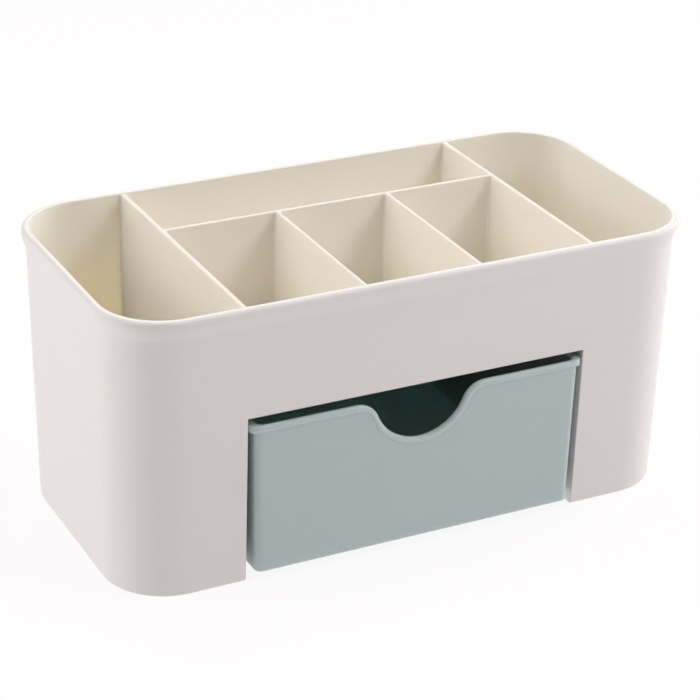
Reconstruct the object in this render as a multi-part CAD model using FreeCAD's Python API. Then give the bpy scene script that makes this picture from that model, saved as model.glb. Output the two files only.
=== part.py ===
import FreeCAD, Part
import math, os

V = FreeCAD.Vector

# ---------------------------------------------------------------- driving dimensions, mm
# origin: middle of the bottom, +Z up, +X along the length, the drawer faces -Y

# case wall
LENGTH = 220.5            # outside, at the rim, without the flare
DEPTH = 110.4             # outside, at the rim, without the flare
HEIGHT = 105.0
TAPER_X = 1.0             # how much each end draws in from rim to base
TAPER_Y = 2.6             # how much front and back draw in from rim to base
CORNER_R = 23.0           # plan radius of the four corners, outside
WALL = 1.3
FLARE = 1.4               # how far the rim stands out from the wall
FLARE_FROM = 96.5         # height where the wall starts to curve out
FLARE_TO = 102.4          # height where the rim has its full width
RIM_ROUND_OUT = 2.0
RIM_ROUND_IN = 0.5
BASE_ROUND = 0.7
GROOVE = 0.4              # depth of the grooves in the wall that hold the panels

# drawer opening in the front wall, open at the bottom
OPENING_HALF = 65.4
OPENING_TOP = 63.4

# panels inside
PARTITION_T = 1.8         # the two full-height walls beside the drawer
PANEL_TOP = HEIGHT - 0.5  # dividers end just under the rim
PANEL_ROUND = 0.55        # rounding along the dividers' top edges
TONGUE = 0.5              # how far a panel sits in the panel beside it
DECK_Z = 64.6             # underside of the floor above the drawer
DECK_T = 1.8
REAR_DIVIDER_Y = 17.5
REAR_DIVIDER_T = 1.5
SHORT_DIVIDER_X = 22.0
SHORT_DIVIDER_T = 1.4
CUP_FLOOR_Z = 1.0
CUP_FLOOR_T = 2.0

# drawer
DRAWER_BASE_Z = 3.3
DRAWER_RIM_Z = 60.4
DRAWER_HALF_BASE = 62.4
DRAWER_HALF_RIM = 63.2
DRAWER_FRONT_BASE = -54.8
DRAWER_FRONT_RIM = -55.5
DRAWER_BACK_BASE = 49.7
DRAWER_BACK_RIM = 50.8
DRAWER_CORNER_R = 2.6
DRAWER_WALL = 1.7
DRAWER_FLOOR = 1.8
DRAWER_BASE_ROUND = 0.6
LIP_HALF = 65.0           # half width over the side lips
LIP_UNDER = 58.0          # underside of the lips and of the rim bead
LIP_CORNER_R = 4.0
LIP_ROUND = 0.6
BEAD = 0.35               # how far the rim bead stands out at the front
BEAD_BACK = 0.7
SCOOP_R = 18.0            # finger scoop, bottom arc
SCOOP_BOTTOM_Z = 43.4
SCOOP_SHOULDER_R = 9.0
SCOOP_BEAD = 2.4          # width of the bead round the scoop

# runners under the drawer's lips
RUNNER_TOP = LIP_UNDER - 0.4
RUNNER_H = 3.4
RUNNER_OUT = 1.6          # how far a runner stands out from its wall
RUNNER_FRONT = -42.0
RUNNER_BACK = 49.0
RUNNER_LEAD = 3.0         # lead-in ramp at each runner's front


# ---------------------------------------------------------------- shapes
def ring(xa, xb, ya, yb, r, z):
    """Closed wire of a rounded rectangle at height z."""
    k = r * (1.0 - math.sqrt(0.5))
    p = lambda x, y: V(x, y, z)
    line = lambda a, b: Part.makeLine(a, b)
    arc = lambda a, m, b: Part.Arc(a, m, b).toShape()
    return Part.Wire([
        line(p(xa + r, ya), p(xb - r, ya)),
        arc(p(xb - r, ya), p(xb - k, ya + k), p(xb, ya + r)),
        line(p(xb, ya + r), p(xb, yb - r)),
        arc(p(xb, yb - r), p(xb - k, yb - k), p(xb - r, yb)),
        line(p(xb - r, yb), p(xa + r, yb)),
        arc(p(xa + r, yb), p(xa + k, yb - k), p(xa, yb - r)),
        line(p(xa, yb - r), p(xa, ya + r)),
        arc(p(xa, ya + r), p(xa + k, ya + k), p(xa + r, ya)),
    ])


def loft(wires):
    """Solid through a stack of rounded rectangles: flat sides, ruled corners, flat ends."""
    faces = [Part.Face(wires[0]), Part.Face(wires[-1])]
    for low, high in zip(wires, wires[1:]):
        for a, b in zip(low.OrderedEdges, high.OrderedEdges):
            if isinstance(a.Curve, (Part.Line, Part.LineSegment)):
                q = [a.firstVertex().Point, a.lastVertex().Point, b.lastVertex().Point, b.firstVertex().Point]
                faces.append(Part.Face(Part.makePolygon(q + [q[0]])))
            else:
                faces.append(Part.makeRuledSurface(a, b))
    solid = Part.Solid(Part.Shell(faces))
    if solid.Volume < 0:
        solid.reverse()
    return solid


def box(xa, xb, ya, yb, za, zb):
    return Part.makeBox(xb - xa, yb - ya, zb - za, V(xa, ya, za))


def case_ring(z, off):
    """Plan of the case at height z, moved outwards by off."""
    s = z / HEIGHT - 1.0
    a = LENGTH / 2 + TAPER_X * s + off
    b = DEPTH / 2 + TAPER_Y * s + off
    return ring(-a, a, -b, b, CORNER_R + off, z)


def cavity(off, za, zb):
    """Room inside the case wall between two heights, grown by off."""
    return loft([case_ring(za, off - WALL), case_ring(zb, off - WALL)])


def round_top(shape, along, z, r):
    """Round the top edges of a panel that run along one axis."""
    picked = []
    for e in shape.Edges:
        bb = e.BoundBox
        if abs(bb.ZMin - z) < 1e-3 and abs(bb.ZMax - z) < 1e-3:
            long_side = bb.XLength if along == "x" else bb.YLength
            cross = bb.YLength if along == "x" else bb.XLength
            if long_side > 5.0 and cross < 1e-3:
                picked.append(e)
    return shape.makeFillet(r, picked)


# ---------------------------------------------------------------- case wall
sections = []
for i in range(4):
    f = math.radians(-90.0 + 30.0 * i)
    sections.append((BASE_ROUND + BASE_ROUND * math.sin(f), -BASE_ROUND + BASE_ROUND * math.cos(f)))
for i in range(0, 9):
    s = i / 8.0
    sections.append((FLARE_FROM + (FLARE_TO - FLARE_FROM) * s, FLARE * (3 * s * s - 2 * s ** 3)))
for i in range(0, 6):
    f = math.radians(18.0 * i)
    sections.append((HEIGHT - RIM_ROUND_OUT + RIM_ROUND_OUT * math.sin(f),
                     FLARE - RIM_ROUND_OUT + RIM_ROUND_OUT * math.cos(f)))
outer = loft([case_ring(z, off) for z, off in sections])

# the inside goes straight up, only the outside flares
inside = [(-1.0, -WALL)]
for i in range(0, 5):
    f = math.radians(22.5 * i)
    inside.append((HEIGHT - RIM_ROUND_IN + RIM_ROUND_IN * math.sin(f),
                   -WALL + RIM_ROUND_IN - RIM_ROUND_IN * math.cos(f)))
inside.append((HEIGHT + 1.0, -WALL + RIM_ROUND_IN))
shell = outer.cut(loft([case_ring(z, off) for z, off in inside]))
shell = shell.cut(box(-OPENING_HALF, OPENING_HALF, -70.0, -40.0, -1.0, OPENING_TOP))

# ---------------------------------------------------------------- panels of the case
PART_IN = OPENING_HALF                     # inner face of a partition, flush with the opening's side
PART_OUT = PART_IN + PARTITION_T
held = cavity(GROOVE, 0.0, HEIGHT)         # room up to the bottom of the grooves


def partition(side):
    xa, xb = sorted((side * PART_IN, side * PART_OUT))
    return round_top(box(xa, xb, -70.0, 70.0, 0.0, PANEL_TOP).common(held), "y", PANEL_TOP, PANEL_ROUND)


def cup_floor(side):
    xa, xb = sorted((side * (PART_OUT - TONGUE), side * 130.0))
    return box(xa, xb, -70.0, 70.0, CUP_FLOOR_Z, CUP_FLOOR_Z + CUP_FLOOR_T).common(held)


def short_divider(side):
    x = side * SHORT_DIVIDER_X
    b = box(x - SHORT_DIVIDER_T / 2, x + SHORT_DIVIDER_T / 2, -70.0, REAR_DIVIDER_Y - REAR_DIVIDER_T / 2 + TONGUE,
            DECK_Z + DECK_T - TONGUE, PANEL_TOP).common(held)
    return round_top(b, "y", PANEL_TOP, PANEL_ROUND)


def runner(side):
    """Rail with a tongue in the partition and a ramp at the front."""
    zt, zb = RUNNER_TOP, RUNNER_TOP - RUNNER_H
    xw, xo = side * (PART_IN + TONGUE), side * (PART_IN - RUNNER_OUT)
    r = box(min(xw, xo), max(xw, xo), RUNNER_FRONT, RUNNER_BACK, zb, zt)
    ramp = Part.Face(Part.makePolygon([V(0, RUNNER_FRONT - 1, zt + 1), V(0, RUNNER_FRONT + RUNNER_LEAD, zt + 1),
                                       V(0, RUNNER_FRONT + RUNNER_LEAD, zt), V(0, RUNNER_FRONT, zt - 0.8),
                                       V(0, RUNNER_FRONT - 1, zt - 0.8), V(0, RUNNER_FRONT - 1, zt + 1)]))
    ramp.translate(V(-80, 0, 0))
    r = r.cut(ramp.extrude(V(160, 0, 0)))
    # rounded inner edges, where the drawer's side passes
    picked = [e for e in r.Edges
              if abs(e.BoundBox.XMin - xo) < 1e-3 and abs(e.BoundBox.XMax - xo) < 1e-3
              and abs(e.BoundBox.ZMin - zb) < 1e-3 and abs(e.BoundBox.ZMax - zb) < 1e-3]
    return r.makeFillet(0.6, picked)


deck = box(-PART_IN - TONGUE, PART_IN + TONGUE, -70.0, 70.0, DECK_Z, DECK_Z + DECK_T).common(held)
rear = box(-PART_IN - TONGUE, PART_IN + TONGUE, REAR_DIVIDER_Y - REAR_DIVIDER_T / 2, REAR_DIVIDER_Y + REAR_DIVIDER_T / 2,
           DECK_Z + DECK_T - TONGUE, PANEL_TOP)
rear = round_top(rear, "x", PANEL_TOP, PANEL_ROUND)

left_floor, right_floor = cup_floor(-1), cup_floor(1)
left_part, right_part = partition(-1), partition(1)
left_short, right_short = short_divider(-1), short_divider(1)
left_runner, right_runner = runner(-1), runner(1)

# grooves, cut with the panel that sits in them
for panel in (left_part, right_part, left_floor, right_floor, deck, left_short, right_short):
    shell = shell.cut(panel)
for panel in (left_floor, deck, rear, left_runner):
    left_part = left_part.cut(panel)
for panel in (right_floor, deck, rear, right_runner):
    right_part = right_part.cut(panel)
for panel in (rear, left_short, right_short):
    deck = deck.cut(panel)
for panel in (left_short, right_short):
    rear = rear.cut(panel)


# ---------------------------------------------------------------- drawer, one moulded tray
def tray_ring(z, off):
    """Plan of the drawer's outer wall at height z, moved outwards by off."""
    s = (z - DRAWER_BASE_Z) / (DRAWER_RIM_Z - DRAWER_BASE_Z)
    a = DRAWER_HALF_BASE + (DRAWER_HALF_RIM - DRAWER_HALF_BASE) * s + off
    f = DRAWER_FRONT_BASE + (DRAWER_FRONT_RIM - DRAWER_FRONT_BASE) * s - off
    b = DRAWER_BACK_BASE + (DRAWER_BACK_RIM - DRAWER_BACK_BASE) * s + off
    return ring(-a, a, f, b, max(0.4, DRAWER_CORNER_R + off), z)


def lip_ring(z, off):
    return ring(-LIP_HALF - off, LIP_HALF + off, DRAWER_FRONT_RIM - BEAD - off, DRAWER_BACK_RIM + BEAD_BACK + off,
                LIP_CORNER_R + off, z)


def scoop_points(off):
    """Arc points of the scoop's edge, moved into the drawer's front by off."""
    R, r = SCOOP_R + off, SCOOP_SHOULDER_R - off
    zc = SCOOP_BOTTOM_Z + SCOOP_R                       # middle of the bottom arc
    zs = DRAWER_RIM_Z - SCOOP_SHOULDER_R                # middle of a shoulder arc
    xs = math.sqrt((SCOOP_R + SCOOP_SHOULDER_R) ** 2 - (zc - zs) ** 2)
    t = math.atan2(xs, zc - zs)                         # slope where the arcs meet
    meet = (R * math.sin(t), zc - R * math.cos(t))
    mid = (xs - r * math.sin(t / 2), zs + r * math.cos(t / 2))
    end = (xs, zs + r)
    return R, zc, meet, mid, end


def scoop_face(off, top, y):
    """Area over the scoop's edge, up to a straight top."""
    R, zc, meet, mid, end = scoop_points(off)
    p = lambda q, m=1: V(m * q[0], y, q[1])
    edges = [Part.Arc(p(end, -1), p(mid, -1), p(meet, -1)).toShape(),
             Part.Arc(p(meet, -1), V(0, y, zc - R), p(meet)).toShape(),
             Part.Arc(p(meet), p(mid), p(end)).toShape()]
    ring_pts = [p(end), V(end[0], y, top), V(-end[0], y, top), p(end, -1)]
    edges += [Part.makeLine(ring_pts[i], ring_pts[i + 1]) for i in range(3)]
    return Part.Face(Part.Wire(edges))


r = DRAWER_BASE_ROUND
body = []
for i in range(4):
    f = math.radians(-90.0 + 30.0 * i)
    body.append((DRAWER_BASE_Z + r + r * math.sin(f), -r + r * math.cos(f)))
body.append((DRAWER_RIM_Z, 0.0))
tray = loft([tray_ring(z, off) for z, off in body])

lip = []
for i in range(4):
    f = math.radians(-90.0 + 30.0 * i)
    lip.append((LIP_UNDER + LIP_ROUND + LIP_ROUND * math.sin(f), -LIP_ROUND + LIP_ROUND * math.cos(f)))
for i in range(4):
    f = math.radians(30.0 * i)
    lip.append((DRAWER_RIM_Z - LIP_ROUND + LIP_ROUND * math.sin(f), -LIP_ROUND + LIP_ROUND * math.cos(f)))
tray = tray.fuse(loft([lip_ring(z, off) for z, off in lip]))

# bead round the scoop
front = DRAWER_FRONT_RIM - BEAD
bead = scoop_face(SCOOP_BEAD, DRAWER_RIM_Z - 0.7, front).extrude(V(0, 3.0, 0))
tray = tray.fuse(bead)

# inside of the tray
floor_z = DRAWER_BASE_Z + DRAWER_FLOOR
ri = 1.5
hollow = []
for i in range(4):
    f = math.radians(-90.0 + 30.0 * i)
    hollow.append((floor_z + ri + ri * math.sin(f), -DRAWER_WALL - ri + ri * math.cos(f)))
hollow.append((DRAWER_RIM_Z + 1.0, -DRAWER_WALL))
tray = tray.cut(loft([tray_ring(z, off) for z, off in hollow]))

# finger scoop, through the front wall
tray = tray.cut(scoop_face(0.0, DRAWER_RIM_Z + 2.0, -60.0).extrude(V(0, 12.0, 0)))
tray = tray.removeSplitter()

# ---------------------------------------------------------------- one file for each piece
PIECES = {
    "outer_shell": shell,
    "left_cup_floor": left_floor,
    "right_cup_floor": right_floor,
    "left_partition": left_part,
    "right_partition": right_part,
    "middle_deck": deck,
    "rear_divider": rear,
    "short_divider_left": left_short,
    "short_divider_right": right_short,
    "drawer_runner_left": left_runner,
    "drawer_runner_right": right_runner,
    "drawer": tray,
}

os.makedirs("parts", exist_ok=True)
for name, shape in PIECES.items():
    solids = shape.Solids
    bb = shape.BoundBox
    print("%-22s solids %d valid %s volume %.2f cm3  x %.2f..%.2f  y %.2f..%.2f  z %.2f..%.2f" % (
        name, len(solids), shape.isValid(), shape.Volume / 1000.0,
        bb.XMin, bb.XMax, bb.YMin, bb.YMax, bb.ZMin, bb.ZMax))
    out = solids[0] if len(solids) == 1 else Part.makeCompound(solids)
    out.exportStep(os.path.join("parts", name + ".step"))
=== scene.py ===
import math

import bmesh
import bpy
from mathutils import Matrix, Vector


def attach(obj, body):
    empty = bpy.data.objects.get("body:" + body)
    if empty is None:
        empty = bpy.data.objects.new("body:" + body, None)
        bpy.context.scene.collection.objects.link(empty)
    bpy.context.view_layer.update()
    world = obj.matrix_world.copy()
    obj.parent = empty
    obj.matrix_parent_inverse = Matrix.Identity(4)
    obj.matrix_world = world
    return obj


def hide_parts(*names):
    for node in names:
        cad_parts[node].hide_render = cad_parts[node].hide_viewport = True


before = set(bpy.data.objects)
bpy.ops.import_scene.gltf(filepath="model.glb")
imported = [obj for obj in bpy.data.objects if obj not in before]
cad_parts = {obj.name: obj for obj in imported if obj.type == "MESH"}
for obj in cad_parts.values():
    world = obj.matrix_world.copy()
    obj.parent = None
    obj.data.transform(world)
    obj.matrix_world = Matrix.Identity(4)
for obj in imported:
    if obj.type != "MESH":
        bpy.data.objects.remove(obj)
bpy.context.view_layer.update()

MM = 0.001
scene = bpy.context.scene

# ------------------------------------------------------------------ sizes, mm, as in the CAD model
LENGTH, DEPTH, HEIGHT = 220.5, 110.4, 105.0
TAPER_X, TAPER_Y = 1.0, 2.6
CORNER_R, WALL = 23.0, 1.3
FLARE, FLARE_FROM, FLARE_TO = 1.4, 96.5, 102.4
RIM_OUT, RIM_IN, BASE_ROUND = 2.0, 0.5, 0.7
OPEN_X, OPEN_Z = 65.4, 63.4

PART_T = 1.8
PANEL_TOP = HEIGHT - 0.5
DECK_TOP = 66.4
REAR_Y, REAR_T = 17.5, 1.5
SHORT_X, SHORT_T = 22.0, 1.4
CUP_FLOOR = 3.0

D_BASE, D_RIM = 3.3, 60.4
D_HALF = (62.4, 63.2)
D_FRONT = (-54.8, -55.5)
D_BACK = (49.7, 50.8)
D_CORNER, D_WALL, D_FLOOR, D_ROUND = 2.6, 1.7, 1.8, 0.6
LIP_HALF, LIP_R = 65.0, 4.0
BEAD, BEAD_BACK, BEAD_H, ROLL = 0.35, 0.7, 2.4, 0.82
SCOOP_R, SCOOP_Z, SCOOP_SHOULDER = 18.0, 43.4, 9.0


# ------------------------------------------------------------------ mesh helpers
def add_piece(name, verts, faces, body, node, mats):
    """Mesh piece from millimetre points; faces are (index tuple, material index)."""
    me = bpy.data.meshes.new(name)
    me.from_pydata([(x * MM, y * MM, z * MM) for x, y, z in verts], [], [f for f, _ in faces])
    for m in mats:
        me.materials.append(m)
    me.polygons.foreach_set("material_index", [m for _, m in faces])
    me.update()
    bm = bmesh.new()
    bm.from_mesh(me)
    bmesh.ops.remove_doubles(bm, verts=bm.verts, dist=1e-7)
    loose = [v for v in bm.verts if not v.link_faces]
    bmesh.ops.delete(bm, geom=loose, context="VERTS")
    bmesh.ops.recalc_face_normals(bm, faces=bm.faces)
    bm.to_mesh(me)
    bm.free()
    me.shade_smooth()
    ob = bpy.data.objects.new(name, me)
    scene.collection.objects.link(ob)
    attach(ob, body)
    if node:
        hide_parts(node)
    return ob


def add_bevel(ob, width, angle=40.0, segments=3):
    m = ob.modifiers.new("edges", "BEVEL")
    m.width = width * MM
    m.segments = segments
    m.limit_method = "ANGLE"
    m.angle_limit = math.radians(angle)
    m.harden_normals = True
    return m


def lerp(a, b, s):
    return a + (b - a) * s


# ------------------------------------------------------------------ materials
def node(nt, kind, x, y, **values):
    n = nt.nodes.new(kind)
    n.location = (x, y)
    for k, v in values.items():
        if k in n.inputs:
            n.inputs[k].default_value = v
        else:
            setattr(n, k, v)
    return n


def plastic(name, light, dark, deep, rough, grain, sss, sss_radius, sss_scale, specular=0.4, through=None):
    """Satin moulded plastic: soft flow marks, fine grain, faint scuffs, lighter convex edges."""
    mat = bpy.data.materials.new(name)
    mat.use_nodes = True
    nt = mat.node_tree
    nt.nodes.clear()
    link = nt.links.new
    out = node(nt, "ShaderNodeOutputMaterial", 900, 0)
    bsdf = node(nt, "ShaderNodeBsdfPrincipled", 600, 0)
    link(bsdf.outputs["BSDF"], out.inputs["Surface"])
    coord = node(nt, "ShaderNodeTexCoord", -1400, 0)

    # slow drift of tone, as melt flow leaves it
    flow_map = node(nt, "ShaderNodeMapping", -1200, 300)
    flow_map.inputs["Scale"].default_value = (14.0, 14.0, 5.0)
    link(coord.outputs["Object"], flow_map.inputs["Vector"])
    flow = node(nt, "ShaderNodeTexNoise", -1000, 300, Scale=1.0, Detail=3.0, Roughness=0.55)
    link(flow_map.outputs["Vector"], flow.inputs["Vector"])
    flow_ramp = node(nt, "ShaderNodeValToRGB", -800, 300)
    flow_ramp.color_ramp.elements[0].position = 0.3
    flow_ramp.color_ramp.elements[0].color = (*dark, 1)
    flow_ramp.color_ramp.elements[1].position = 0.7
    flow_ramp.color_ramp.elements[1].color = (*light, 1)
    link(flow.outputs["Fac"], flow_ramp.inputs["Fac"])

    # pigment specks, very faint
    speck = node(nt, "ShaderNodeTexNoise", -1000, 0, Scale=900.0, Detail=2.0, Roughness=0.6)
    link(coord.outputs["Object"], speck.inputs["Vector"])
    speck_ramp = node(nt, "ShaderNodeMapRange", -800, 0)
    speck_ramp.inputs["From Min"].default_value = 0.62
    speck_ramp.inputs["From Max"].default_value = 0.85
    speck_ramp.inputs["To Min"].default_value = 0.0
    speck_ramp.inputs["To Max"].default_value = 0.35
    link(speck.outputs["Fac"], speck_ramp.inputs["Value"])
    mix_speck = node(nt, "ShaderNodeMix", -500, 200)
    mix_speck.data_type = "RGBA"
    mix_speck.inputs["B"].default_value = (*deep, 1)
    link(speck_ramp.outputs["Result"], mix_speck.inputs["Factor"])
    link(flow_ramp.outputs["Color"], mix_speck.inputs["A"])

    # convex edges are painted a little lighter
    geo = node(nt, "ShaderNodeNewGeometry", -1000, -250)
    edge = node(nt, "ShaderNodeMapRange", -800, -250)
    edge.inputs["From Min"].default_value = 0.52
    edge.inputs["From Max"].default_value = 0.62
    edge.inputs["To Min"].default_value = 0.0
    edge.inputs["To Max"].default_value = 0.30
    link(geo.outputs["Pointiness"], edge.inputs["Value"])
    mix_edge = node(nt, "ShaderNodeMix", -250, 200)
    mix_edge.data_type = "RGBA"
    mix_edge.inputs["B"].default_value = (min(1, light[0] * 1.08), min(1, light[1] * 1.08), min(1, light[2] * 1.07), 1)
    link(edge.outputs["Result"], mix_edge.inputs["Factor"])
    link(mix_speck.outputs["Result"], mix_edge.inputs["A"])
    link(mix_edge.outputs["Result"], bsdf.inputs["Base Color"])

    # roughness: broad patches, fine scuffs
    patch = node(nt, "ShaderNodeTexNoise", -1000, -500, Scale=40.0, Detail=4.0, Roughness=0.6)
    link(coord.outputs["Object"], patch.inputs["Vector"])
    scuff_map = node(nt, "ShaderNodeMapping", -1200, -750)
    scuff_map.inputs["Scale"].default_value = (60.0, 60.0, 900.0)
    scuff_map.inputs["Rotation"].default_value = (0.3, 0.5, 0.2)
    link(coord.outputs["Object"], scuff_map.inputs["Vector"])
    scuff = node(nt, "ShaderNodeTexNoise", -1000, -750, Scale=1.0, Detail=2.0, Roughness=0.5)
    link(scuff_map.outputs["Vector"], scuff.inputs["Vector"])
    blend = node(nt, "ShaderNodeMix", -800, -600)
    blend.data_type = "FLOAT"
    blend.inputs["Factor"].default_value = 0.35
    link(patch.outputs["Fac"], blend.inputs["A"])
    link(scuff.outputs["Fac"], blend.inputs["B"])
    rough_map = node(nt, "ShaderNodeMapRange", -550, -600)
    rough_map.inputs["From Min"].default_value = 0.3
    rough_map.inputs["From Max"].default_value = 0.7
    rough_map.inputs["To Min"].default_value = rough - 0.07
    rough_map.inputs["To Max"].default_value = rough + 0.07
    link(blend.outputs["Result"], rough_map.inputs["Value"])
    link(rough_map.outputs["Result"], bsdf.inputs["Roughness"])

    # relief: fine spark-eroded grain over a slow waviness
    fine = node(nt, "ShaderNodeTexNoise", -1000, -1000, Scale=2600.0, Detail=2.0, Roughness=0.5)
    link(coord.outputs["Object"], fine.inputs["Vector"])
    wave = node(nt, "ShaderNodeTexNoise", -1000, -1250, Scale=22.0, Detail=1.0, Roughness=0.4)
    link(coord.outputs["Object"], wave.inputs["Vector"])
    bump_wave = node(nt, "ShaderNodeBump", -300, -1100, Strength=0.35, Distance=0.0006)
    link(wave.outputs["Fac"], bump_wave.inputs["Height"])
    bump_fine = node(nt, "ShaderNodeBump", 0, -900, Strength=grain, Distance=0.00004)
    link(fine.outputs["Fac"], bump_fine.inputs["Height"])
    link(bump_wave.outputs["Normal"], bump_fine.inputs["Normal"])
    link(bump_fine.outputs["Normal"], bsdf.inputs["Normal"])

    bsdf.inputs["IOR"].default_value = 1.49
    bsdf.inputs["Specular IOR Level"].default_value = specular
    bsdf.inputs["Subsurface Weight"].default_value = sss
    bsdf.inputs["Subsurface Radius"].default_value = sss_radius
    bsdf.inputs["Subsurface Scale"].default_value = sss_scale
    if through:
        # how much light comes through the wall: stops along the length, less towards the rim
        split = node(nt, "ShaderNodeSeparateXYZ", -1200, -1500)
        link(coord.outputs["Object"], split.inputs["Vector"])
        along = node(nt, "ShaderNodeMapRange", -1000, -1450)
        along.inputs["From Min"].default_value = -0.112
        along.inputs["From Max"].default_value = 0.112
        link(split.outputs["X"], along.inputs["Value"])
        ramp = node(nt, "ShaderNodeValToRGB", -800, -1450)
        stops = ramp.color_ramp.elements
        while len(stops) < len(through):
            stops.new(0.5)
        for stop, (x, v) in zip(stops, through):
            stop.position = (x + 0.112) / 0.224
            stop.color = (v, v, v, 1)
        link(along.outputs["Result"], ramp.inputs["Fac"])
        rise = node(nt, "ShaderNodeMapRange", -1000, -1700, interpolation_type="SMOOTHSTEP")
        rise.inputs["From Min"].default_value = 0.060
        rise.inputs["From Max"].default_value = 0.100
        rise.inputs["To Min"].default_value = 1.0
        rise.inputs["To Max"].default_value = 0.33
        link(split.outputs["Z"], rise.inputs["Value"])
        weight = node(nt, "ShaderNodeMath", -500, -1550, operation="MULTIPLY")
        link(ramp.outputs["Color"], weight.inputs[0])
        link(rise.outputs["Result"], weight.inputs[1])
        link(weight.outputs["Value"], bsdf.inputs["Subsurface Weight"])
    return mat


# The case is one plastic made in lit and shaded copies. The outside copy is painted pinker and darker as shade under
# pink-tinted light. The inner wall and inside copies are painted lighter and yellower as warm bounced and
# through-coming light. The rim copy is painted lighter as the top catching the light.
CASE_PAINTED_PINK_SHADE = plastic("case_plastic", (0.816, 0.765, 0.757), (0.804, 0.753, 0.745), (0.72, 0.66, 0.63), 0.46, 0.35,
               0.12, (1.0, 0.72, 0.40), 0.0015)
WALL_IN_PAINTED_WARM_LIGHT = plastic("case_plastic_wall_painted_warm_light", (0.960, 0.912, 0.828), (0.950, 0.902, 0.818), (0.82, 0.74, 0.63), 0.48, 0.30,
                  0.10, (1.0, 0.46, 0.16), 0.009,
                  through=((-0.0665, 0.9), (-0.0653, 0.1), (0.0653, 0.1), (0.0665, 1.0), (0.085, 0.9), (0.105, 0.2)))
INSIDE_PAINTED_WARM_LIGHT = plastic("case_plastic_inside_painted_warm_light", (0.931, 0.883, 0.806), (0.921, 0.873, 0.796), (0.82, 0.74, 0.63), 0.48, 0.30,
                 0.12, (1.0, 0.72, 0.40), 0.0015)
RIM = plastic("case_plastic_rim_painted_lit", (0.94, 0.905, 0.865), (0.93, 0.895, 0.855), (0.80, 0.74, 0.68), 0.44, 0.30,
              0.12, (1.0, 0.72, 0.40), 0.0015)
MINT = plastic("drawer_plastic", (0.508, 0.586, 0.581), (0.496, 0.573, 0.568), (0.42, 0.49, 0.485), 0.40, 0.32,
               0.6, (0.9, 1.0, 0.97), 0.003)


# ------------------------------------------------------------------ outer wall
def case_half(z, off):
    s = z / HEIGHT - 1.0
    return LENGTH / 2 + TAPER_X * s + off, DEPTH / 2 + TAPER_Y * s + off, CORNER_R + off


def case_row(z, off, xs, ys, n):
    """Closed row of points round the case; xs and ys are fixed stations on the straight sides."""
    a, b, r = case_half(z, off)
    pts = []
    pts += [(x, -b) for x in xs]
    pts += [(a - r + r * math.sin(t), -b + r - r * math.cos(t)) for t in [math.pi / 2 * i / n for i in range(n + 1)]]
    pts += [(a, y) for y in ys]
    pts += [(a - r + r * math.cos(t), b - r + r * math.sin(t)) for t in [math.pi / 2 * i / n for i in range(n + 1)]]
    pts += [(x, b) for x in reversed(xs)]
    pts += [(-a + r - r * math.sin(t), b - r + r * math.cos(t)) for t in [math.pi / 2 * i / n for i in range(n + 1)]]
    pts += [(-a, y) for y in reversed(ys)]
    pts += [(-a + r - r * math.cos(t), -b + r - r * math.sin(t)) for t in [math.pi / 2 * i / n for i in range(n + 1)]]
    return [(x, y, z) for x, y in pts]


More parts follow.
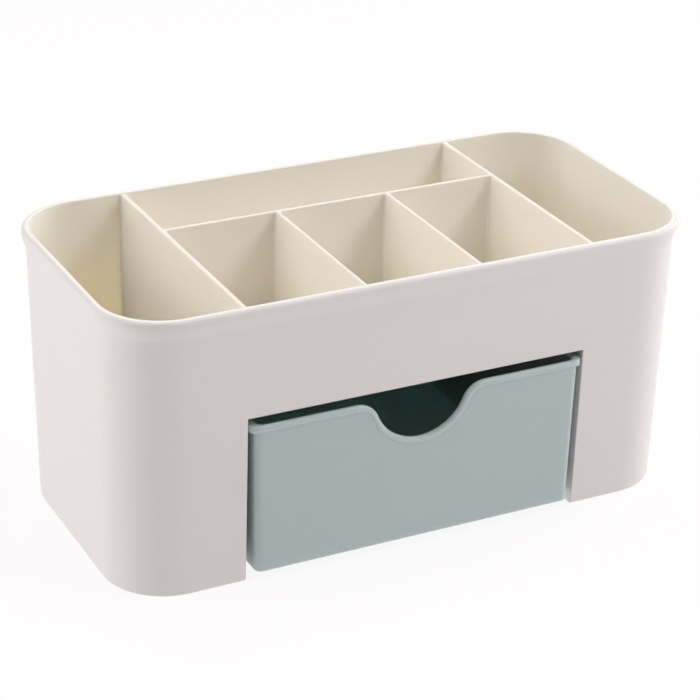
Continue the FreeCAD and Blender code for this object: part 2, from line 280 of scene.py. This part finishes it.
def build_shell():
    xs = [-78, -70, -OPEN_X, -50, -36, -24, -12, 0, 12, 24, 36, 50, OPEN_X, 70, 78]
    ys = [-24, -12, 0, 12, 24]
    n = 28
    wall_z = [8, 20, 32, 44, 54, OPEN_Z, 72, 82, 91]
    rows = []                                      # (z, off, inside?)
    for i in range(6):
        f = math.radians(-90 + 18 * i)
        rows.append((BASE_ROUND + BASE_ROUND * math.sin(f), -BASE_ROUND + BASE_ROUND * math.cos(f), 0))
    first_wall = len(rows)
    for z in wall_z:
        rows.append((z, 0.0, 0))
    for i in range(13):
        s = i / 12
        rows.append((lerp(FLARE_FROM, FLARE_TO, s), FLARE * (3 * s * s - 2 * s ** 3), 0))
    for i in range(9):
        f = math.radians(90 * i / 8)
        rows.append((HEIGHT - RIM_OUT + RIM_OUT * math.sin(f), FLARE - RIM_OUT + RIM_OUT * math.cos(f), 0))
    top = len(rows) - 1
    for i in range(7):
        f = math.radians(90 - 90 * i / 6)
        rows.append((HEIGHT - RIM_IN + RIM_IN * math.sin(f), -WALL + RIM_IN - RIM_IN * math.cos(f), 1))
    for z in reversed(wall_z):
        rows.append((z, -WALL, 1))
    rows.append((0.7, -WALL, 1))
    rows.append((0.0, -WALL, 1))
    count = len(rows)
    verts = []
    for z, off, _ in rows:
        verts += case_row(z, off, xs, ys, n)
    ncol = len(verts) // count
    c_in = [xs.index(-OPEN_X), xs.index(OPEN_X)]   # columns of the opening's sides
    r_out = first_wall + wall_z.index(OPEN_Z)      # row of its top, outside
    r_in = next(i for i in range(top, count) if rows[i][0] == OPEN_Z)
    idx = lambda r, c: (r % count) * ncol + c % ncol
    faces = []
    for r in range(count):
        for c in range(ncol):
            if c_in[0] <= c < c_in[1] and (r < r_out or r >= r_in):
                continue
            # Painted light by rows: outside rows take the copy painted as pink shade, the rim top takes the copy
            # painted lighter as lit from above, and the inner rows take the copy painted as warm light.
            m = 0 if r < top - 2 else (2 if r < top + 5 else 1)
            faces.append(((idx(r, c), idx(r, c + 1), idx(r + 1, c + 1), idx(r + 1, c)), m))
    # reveal of the opening: two sides and the top, in the outside copy painted as pink shade
    for c in c_in:
        outer = [idx(r, c) for r in range(first_wall - 1, r_out + 1)]
        inner = [idx(r, c) for r in range(count - 2, r_in - 1, -1)]
        for k in range(len(outer) - 1):
            faces.append(((outer[k], outer[k + 1], inner[k + 1], inner[k]), 0))
        foot = [idx(r, c) for r in range(0, first_wall)] + [idx(count - 2, c), idx(count - 1, c)]
        faces.append((tuple(foot), 0))
    for c in range(c_in[0], c_in[1]):
        faces.append(((idx(r_out, c), idx(r_out, c + 1), idx(r_in, c + 1), idx(r_in, c)), 0))
    ob = add_piece("outer_wall", verts, faces, "case", "outer_shell", [CASE_PAINTED_PINK_SHADE, WALL_IN_PAINTED_WARM_LIGHT, RIM])
    add_bevel(ob, 0.35, 50.0, 3)
    return ob


build_shell()


# ------------------------------------------------------------------ upright panels
def build_panel(name, node_name, along, centre, thick, ends, z0, cove_from, cove_to, flush=0):
    """Upright panel with a rounded top edge and small coves where its ends meet the walls.

    along is 0 for a panel along X, 1 along Y; ends(z) gives where its ends touch the walls;
    cove_from is the height at which the coves begin on the side that flush names (-1 or +1),
    elsewhere they run from the foot."""
    bury, r, top_r = 0.45, 1.1, 0.55
    stations = []                                  # (end, distance from the wall)
    for k in range(7):
        stations.append((0, r - r * math.cos(math.radians(15 * k))))
    stations = [(0, -bury)] + stations + [(None, f) for f in (0.15, 0.3, 0.5, 0.7, 0.85)]
    stations += [(1, d) for e, d in reversed(stations) if e == 0]
    levels = [(z0, 0.0), (cove_from - 0.3, 0.0), (cove_from + 0.3, 0.0)]
    levels += [(lerp(cove_from + 0.3, PANEL_TOP - top_r, f), 0.0) for f in (0.25, 0.5, 0.75, 1.0)]
    for k in range(1, 7):
        t = math.radians(15 * k)
        levels.append((PANEL_TOP - top_r + top_r * math.sin(t), top_r - top_r * math.cos(t)))
    verts, rows = [], []
    for z, shrink in levels:
        e0, e1 = ends(z)
        row = []
        for side in (-1, 1):
            line = []
            for e, d in stations:
                if e is None:
                    s, h = lerp(e0 + r, e1 - r, d), 0.0
                else:
                    s = e0 + d if e == 0 else e1 - d
                    q = max(0.0, d)
                    h = r - math.sqrt(max(0.0, r * r - (r - q) ** 2)) if q < r else 0.0
                    if (side == flush and z < cove_from) or z > cove_to:
                        h = 0.0
                off = centre + side * (thick / 2 - shrink + h)
                line.append((s, off, z) if along == 0 else (off, s, z))
            row += line if side == -1 else list(reversed(line))
        rows.append(range(len(verts), len(verts) + len(row)))
        verts += row
    faces = []
    n = len(rows[0])
    half = n // 2
    for i, (a, b) in enumerate(zip(rows, rows[1:])):
        for k in range(n):
            # The panel's side towards the drawer takes the outside copy, painted pinker as the shade in the gap.
            bay = i == 0 and flush != 0 and (k < half) == (flush < 0)      # side towards the drawer
            faces.append(((a[k], a[(k + 1) % n], b[(k + 1) % n], b[k]), 1 if bay else 0))
    for row in (rows[0], rows[-1]):
        for k in range(half - 1):
            faces.append(((row[k], row[k + 1], row[n - 2 - k], row[n - 1 - k]), 0))
    ob = add_piece(name, verts, faces, "case", node_name, [INSIDE_PAINTED_WARM_LIGHT, CASE_PAINTED_PINK_SHADE] if flush else [INSIDE_PAINTED_WARM_LIGHT])
    ob.data.set_sharp_from_angle(angle=math.radians(50))
    return ob


def inner_y(z):
    return case_half(z, -WALL)[1]


for side, word in ((-1, "left"), (1, "right")):
    build_panel(word + "_cup_wall", word + "_partition", 1, side * (OPEN_X + PART_T / 2), PART_T,
                lambda z: (-inner_y(z), inner_y(z)), 0.0, DECK_TOP - 0.9, 200.0, -side)
build_panel("rear_tray_wall", "rear_divider", 0, REAR_Y, REAR_T, lambda z: (-OPEN_X, OPEN_X), DECK_TOP - 0.4,
            DECK_TOP + 0.6, 200.0)
for side, word in ((-1, "left"), (1, "right")):
    build_panel("front_tray_wall_" + word, "short_divider_" + word, 1, side * SHORT_X, SHORT_T,
                lambda z: (-inner_y(z), REAR_Y - REAR_T / 2), DECK_TOP - 0.4, DECK_TOP + 0.6, 200.0)


# ------------------------------------------------------------------ floors with coved edges
def cove_levels(top, r, bury, under):
    """(inset, z) from the underside, up inside the wall, round the cove to the floor."""
    out = [(-bury, under), (-bury, top + r)]
    for k in range(8):
        t = math.radians(90 * k / 7)
        out.append((r - r * math.cos(t), top + r - r * math.sin(t)))
    return out


def build_cup_floor(side, word):
    n = 20

    def outline(inset, z):
        a, b, r = case_half(z, -WALL)
        a, b, r = a - inset, b - inset, r - inset
        x0 = OPEN_X + PART_T + inset
        pts = [(lerp(x0, a - r, f), -b) for f in (0, 0.33, 0.66)]
        pts += [(a - r + r * math.sin(t), -b + r - r * math.cos(t)) for t in [math.pi / 2 * i / n for i in range(n + 1)]]
        pts += [(a, y) for y in (-14, 0, 14)]
        pts += [(a - r + r * math.cos(t), b - r + r * math.sin(t)) for t in [math.pi / 2 * i / n for i in range(n + 1)]]
        pts += [(lerp(x0, a - r, f), b) for f in (0.66, 0.33, 0)]
        pts += [(x0, y) for y in (36, 24, 12, 0, -12, -24, -36)]
        return [(side * x, y, z) for x, y in pts]

    verts, faces, rows = [], [], []
    for inset, z in cove_levels(CUP_FLOOR, 1.6, 0.3, CUP_FLOOR - 2.0):
        row = outline(inset, z)
        rows.append(range(len(verts), len(verts) + len(row)))
        verts += row
    k = len(rows[0])
    for a, b in zip(rows, rows[1:]):
        faces += [((a[i], a[(i + 1) % k], b[(i + 1) % k], b[i]), 0) for i in range(k)]
    faces.append((tuple(rows[0]), 0))
    faces.append((tuple(rows[-1]), 0))
    ob = add_piece(word + "_cup_base", verts, faces, "case", word + "_cup_floor", [INSIDE_PAINTED_WARM_LIGHT])
    ob.data.set_sharp_from_angle(angle=math.radians(50))
    return ob


for side, word in ((-1, "left"), (1, "right")):
    build_cup_floor(side, word)


def build_deck():
    b = inner_y(DECK_TOP)
    r = 1.6
    under = DECK_TOP - 1.8
    # tray floors: x0, x1, y0, y1
    cells = [(-OPEN_X, OPEN_X, REAR_Y + REAR_T / 2, b),
             (-OPEN_X, -SHORT_X - SHORT_T / 2, -b, REAR_Y - REAR_T / 2),
             (-SHORT_X + SHORT_T / 2, SHORT_X - SHORT_T / 2, -b, REAR_Y - REAR_T / 2),
             (SHORT_X + SHORT_T / 2, OPEN_X, -b, REAR_Y - REAR_T / 2)]
    verts, faces = [], []
    for x0, x1, y0, y1 in cells:
        rows = []
        for inset, z in cove_levels(DECK_TOP, r, 0.3, DECK_TOP - 1.1):
            q = max(0.9 - max(inset, 0.0) * 0.3, 0.3)
            ax, bx, ay, by = x0 + inset, x1 - inset, y0 + inset, y1 - inset
            row = []
            for cx, cy, t0 in ((bx - q, ay + q, -90), (bx - q, by - q, 0), (ax + q, by - q, 90), (ax + q, ay + q, 180)):
                row += [(cx + q * math.cos(math.radians(t0 + 22.5 * i)), cy + q * math.sin(math.radians(t0 + 22.5 * i)), z)
                        for i in range(5)]
            rows.append(range(len(verts), len(verts) + len(row)))
            verts += row
        k = len(rows[0])
        for a, c in zip(rows, rows[1:]):
            faces += [((a[i], a[(i + 1) % k], c[(i + 1) % k], c[i]), 0) for i in range(k)]
        faces.append((tuple(rows[0]), 0))
        faces.append((tuple(rows[-1]), 0))
    # plate under the trays
    base = len(verts)
    e = 0.3
    for z in (under, DECK_TOP - 0.6):
        verts += [(-OPEN_X - e, -b - e, z), (OPEN_X + e, -b - e, z), (OPEN_X + e, b + e, z), (-OPEN_X - e, b + e, z)]
    q = [base + i for i in range(8)]
    for f in ((q[3], q[2], q[1], q[0]), (q[4], q[5], q[6], q[7]), (q[0], q[1], q[5], q[4]), (q[1], q[2], q[6], q[5]),
              (q[2], q[3], q[7], q[6]), (q[3], q[0], q[4], q[7])):
        faces.append((f, 0))
    ob = add_piece("tray_floor", verts, faces, "case", "middle_deck", [INSIDE_PAINTED_WARM_LIGHT])
    ob.data.set_sharp_from_angle(angle=math.radians(50))
    return ob


build_deck()


# ------------------------------------------------------------------ drawer
def drawer_plan(z):
    s = (z - D_BASE) / (D_RIM - D_BASE)
    return lerp(*D_HALF, s), lerp(*D_FRONT, s), lerp(*D_BACK, s)


def build_drawer():
    zc, zs = SCOOP_Z + SCOOP_R, D_RIM - SCOOP_SHOULDER
    xs = math.sqrt((SCOOP_R + SCOOP_SHOULDER) ** 2 - (zc - zs) ** 2)
    tilt = math.atan2(xs, zc - zs)                 # bottom arc ends here, measured from straight down
    edge = []                                      # right half of the front edge: (x, z, nx, nz)
    for i in range(29):
        t = tilt * i / 28
        edge.append((SCOOP_R * math.sin(t), zc - SCOOP_R * math.cos(t), math.sin(t), -math.cos(t)))
    for i in range(1, 17):
        t = tilt * (1 - i / 16)                    # shoulder, turning to level
        edge.append((xs - SCOOP_SHOULDER * math.sin(t), zs + SCOOP_SHOULDER * math.cos(t), math.sin(t), -math.cos(t)))
    for x in (28, 34, 41, 48, 54, 58):
        edge.append((x, D_RIM, 0.0, -1.0))
    front = [(-x, z, -nx, nz) for x, z, nx, nz in reversed(edge[1:])] + edge
    n = 10
    cols = [("front", e) for e in front]
    cols += [("corner", (1, -1, -90 + 90 * i / n)) for i in range(n + 1)]
    cols += [("side", (1, y)) for y in (-46, -38, -24, -10, 4, 18, 32, 42)]
    cols += [("corner", (1, 1, 90 * i / n)) for i in range(n + 1)]
    cols += [("back", x) for x in (54, 40, 26, 13, 0, -13, -26, -40, -54)]
    cols += [("corner", (-1, 1, 90 + 90 * i / n)) for i in range(n + 1)]
    cols += [("side", (-1, y)) for y in (42, 32, 18, 4, -10, -24, -38, -46)]
    cols += [("corner", (-1, -1, 180 + 90 * i / n)) for i in range(n + 1)]

    def wall(col, z, inset, radius, x=0.0):
        """Point of the wall outline at height z, moved in by inset."""
        kind, c = col
        hx, fy, by = drawer_plan(z)
        if kind == "front":
            return (x, fy + inset, z)
        if kind == "back":
            return (c, by - inset, z)
        if kind == "side":
            return (c[0] * (hx - inset), c[1], z)
        sx, sy, t = c
        cx = sx * (hx - inset - radius)
        cy = fy + inset + radius if sy < 0 else by - inset - radius
        return (cx + radius * math.cos(math.radians(t)), cy + radius * math.sin(math.radians(t)), z)

    def lip(col, z):
        """Point of the lip outline and its distance from the wall."""
        kind, c = col
        f, b = D_FRONT[1] - BEAD, D_BACK[1] + BEAD_BACK
        if kind == "back":
            p = (c, b)
        elif kind == "side":
            p = (c[0] * LIP_HALF, c[1])
        else:
            sx, sy, t = c
            cx, cy = sx * (LIP_HALF - LIP_R), (f + LIP_R if sy < 0 else b - LIP_R)
            p = (cx + LIP_R * math.cos(math.radians(t)), cy + LIP_R * math.sin(math.radians(t)))
        w = wall(col, z, 0.0, D_CORNER)
        return Vector((p[0] - w[0], p[1] - w[1], 0.0))

    def section(w, level):
        """Rim section outside: (o, d), from the wall under the bead to the top.

        level is 0 on the front, where the edge is a soft roll, and 1 on the lip."""
        roll = [(0.0, 4.2), (-0.03, 3.75), (-0.08, 3.35), (-0.11, 3.0), (-0.09, 2.78), (0.01, 2.56), (0.13, 2.38),
                (0.24, 2.18), (0.315, 1.95), (0.345, 1.7)]
        for k in range(7):
            t = math.radians(15 * k)
            roll.append((w - 1.2 + 1.2 * math.cos(t), 1.45 - 1.45 * math.sin(t)))
        f, g = min(0.4, w * 0.65), min(0.3, w * 0.35)
        ledge = [(0.0, 4.2)]
        for k in range(5):
            t = math.radians(22.5 * k)
            ledge.append((f - f * math.cos(t), BEAD_H + f - f * math.sin(t)))
        for k in range(1, 5):
            t = math.radians(22.5 * k)
            ledge.append((w - g + g * math.sin(t), BEAD_H - g + g * math.cos(t)))
        for k in range(7):
            t = math.radians(15 * k)
            ledge.append((w - 0.8 + 0.8 * math.cos(t), 0.9 - 0.9 * math.sin(t)))
        roll = [(o, d if d > 4.1 else d * ROLL) for o, d in roll]
        return [(lerp(p[0], q[0], level), lerp(p[1], q[1], level)) for p, q in zip(roll, ledge)]

    under = 4.2                                    # the rim section ends this far from the edge
    steps_out, steps_in = (0.0, 0.2, 0.4, 0.6, 0.8, 0.93, 1.0), (0.0, 0.15, 0.35, 0.6, 0.8, 1.0)
    floor_z = D_BASE + D_FLOOR
    grid = []
    for col in cols:
        kind, c = col
        line = []
        if kind == "front":
            x0, z0, nx, nz = c
            at = lambda d: (x0 + nx * d, z0 + nz * d)
        else:
            at = lambda d: (0.0, D_RIM - d)
        # underside and base rounding
        for k in range(7):
            t = math.radians(15 * k)
            inset = D_ROUND - D_ROUND * math.sin(t)
            z = D_BASE + D_ROUND - D_ROUND * math.cos(t)
            line.append(wall(col, z, inset, D_CORNER - inset, at(under)[0]))
        # outside wall
        zt = at(under)[1]
        for s in steps_out[1:-1]:
            line.append(wall(col, lerp(D_BASE + D_ROUND, zt, s), 0.0, D_CORNER, at(under)[0]))
        # bead and top edge
        width = BEAD if kind == "front" else lip(col, D_RIM).length
        level = 0.0 if kind == "front" else min(1.0, max(0.0, (width - BEAD) / 0.9))
        for o, d in section(width, level):
            x, z = at(d)
            p = Vector(wall(col, z, 0.0, D_CORNER, x))
            if kind == "front":
                p.y -= o
            else:
                v = lip(col, z)
                p += v * (o / v.length if o < 0 else o / width)
            line.append(tuple(p))
        # over the top to the inside
        for k in range(6):
            t = math.radians(90 - 18 * k)
            x, z = at(0.5 - 0.5 * math.sin(t))
            line.append(wall(col, z, D_WALL - 0.5 + 0.5 * math.cos(t), 2.1, x))
        for d in (1.2, 2.6, under):
            x, z = at(d)
            line.append(wall(col, z, D_WALL, 2.1, x))
        # inside wall down to the floor
        zi = floor_z + 1.5
        for s in steps_in[1:]:
            line.append(wall(col, lerp(zt, zi, s), D_WALL, 2.1, at(under)[0]))
        for k in range(1, 7):
            t = math.radians(15 * k)
            inset = 1.5 - 1.5 * math.cos(t)
            line.append(wall(col, floor_z + 1.5 - 1.5 * math.sin(t), D_WALL + inset, 2.1 - inset, at(under)[0]))
        grid.append(line)
    verts = [p for line in grid for p in line]
    m, k = len(grid), len(grid[0])
    faces = []
    for i in range(m):
        j = (i + 1) % m
        for r in range(k - 1):
            faces.append(((i * k + r, j * k + r, j * k + r + 1, i * k + r + 1), 0))
    faces.append((tuple(i * k for i in range(m)), 0))
    faces.append((tuple(i * k + k - 1 for i in range(m)), 0))
    ob = add_piece("drawer_tub", verts, faces, "drawer_tray", "drawer", [MINT])
    ob.data.set_sharp_from_angle(angle=math.radians(60))
    return ob


build_drawer()


# ------------------------------------------------------------------ camera, floor, light
def look(azimuth, elevation, roll, dist, target, focal_px):
    a, e, r = (math.radians(v) for v in (azimuth, elevation, roll))
    back = Vector((math.sin(a) * math.cos(e), -math.cos(a) * math.cos(e), math.sin(e)))
    right = (-back).cross(Vector((0, 0, 1))).normalized()
    up = right.cross(-back)
    x = right * math.cos(r) + up * math.sin(r)
    y = up * math.cos(r) - right * math.sin(r)
    m = Matrix((x, y, back)).transposed().to_4x4()
    m.translation = Vector(target) * MM + back * dist * MM
    data = bpy.data.cameras.new("camera")
    data.sensor_width = 36.0
    data.lens = focal_px / 700.0 * 36.0
    data.clip_start, data.clip_end = 0.05, 20.0
    cam = bpy.data.objects.new("camera", data)
    cam.matrix_world = m
    scene.collection.objects.link(cam)
    scene.camera = cam
    return cam


look(-27.06, 25.751, 1.282, 863.85, (-0.27, 0.0, 52.53), 2366.0)


def area(name, loc, target, size, power, color):
    d = bpy.data.lights.new(name, "AREA")
    d.shape = "RECTANGLE"
    d.size, d.size_y = size
    d.energy = power
    d.color = color
    o = bpy.data.objects.new(name, d)
    o.location = loc
    o.rotation_mode = "QUATERNION"
    o.rotation_quaternion = (Vector(target) - Vector(loc)).to_track_quat("-Z", "Y")
    scene.collection.objects.link(o)
    return o


area("left_back", (-1.30, 0.75, 0.45), (0, 0, 0.05), (0.8, 0.8), 4.40, (0.955, 0.973, 1.0))
area("left", (-1.45, 0.30, 0.45), (0, 0, 0.05), (0.8, 0.8), 1.90, (0.958, 0.976, 1.0))
area("left_high", (-1.20, -0.12, 0.95), (0, 0, 0.05), (0.8, 0.8), 4.50, (1.0, 0.995, 0.975))
area("left_back_high", (-0.90, 0.90, 1.00), (0, 0, 0.05), (0.8, 0.8), 1.15, (0.975, 0.98, 1.0))
area("top_left", (-0.80, 0.00, 1.40), (0, 0, 0.05), (0.8, 0.8), 3.95, (1.0, 0.98, 0.90))
area("top_back", (0.00, 0.80, 1.40), (0, 0, 0.05), (0.8, 0.8), 7.30, (1.0, 0.99, 0.98))
area("right", (1.60, 0.10, 0.60), (0, 0, 0.05), (0.8, 0.8), 9.40, (1.0, 1.0, 1.0))
area("top_right", (0.80, 0.00, 1.40), (0, 0, 0.05), (0.8, 0.8), 5.50, (1.0, 0.99, 0.96))
area("right_front", (1.40, -1.00, 0.50), (0, 0, 0.05), (0.8, 0.8), 2.75, (0.96, 0.96, 1.0))
area("front_near", (0.50, -0.50, 0.75), (0, 0, 0.05), (0.4, 0.4), 3.45, (0.997, 0.986, 1.0))

world = bpy.data.worlds.new("studio")
world.use_nodes = True
bg = world.node_tree.nodes.get("Background") or world.node_tree.nodes.new("ShaderNodeBackground")
bg.inputs["Color"].default_value = (1.0, 1.0, 1.0, 1)
bg.inputs["Strength"].default_value = 0.01
scene.world = world

floor_me = bpy.data.meshes.new("floor")
floor_me.from_pydata([(-4, -4, 0), (4, -4, 0), (4, 4, 0), (-4, 4, 0)], [], [(0, 1, 2, 3)])
floor = bpy.data.objects.new("floor", floor_me)
scene.collection.objects.link(floor)
fmat = bpy.data.materials.new("floor")
fmat.use_nodes = True
fb = fmat.node_tree.nodes["Principled BSDF"]
fb.inputs["Base Color"].default_value = (0.12, 0.12, 0.12, 1)
fb.inputs["Roughness"].default_value = 0.9
fb.inputs["Emission Color"].default_value = (1.0, 0.985, 0.985, 1)
fb.inputs["Emission Strength"].default_value = 0.88
fb.inputs["Specular IOR Level"].default_value = 0.0
floor_me.materials.append(fmat)

scene.view_settings.view_transform = "Standard"
scene.view_settings.look = "None"
scene.view_settings.exposure = 0.0
scene.view_settings.gamma = 1.0

# CAD nodes that stay take the same finishes; the case ones take the outside copy painted as pink shade
for name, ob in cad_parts.items():
    if not ob.hide_render:
        ob.data.materials.clear()
        ob.data.materials.append(MINT if name == "drawer" else CASE_PAINTED_PINK_SHADE)
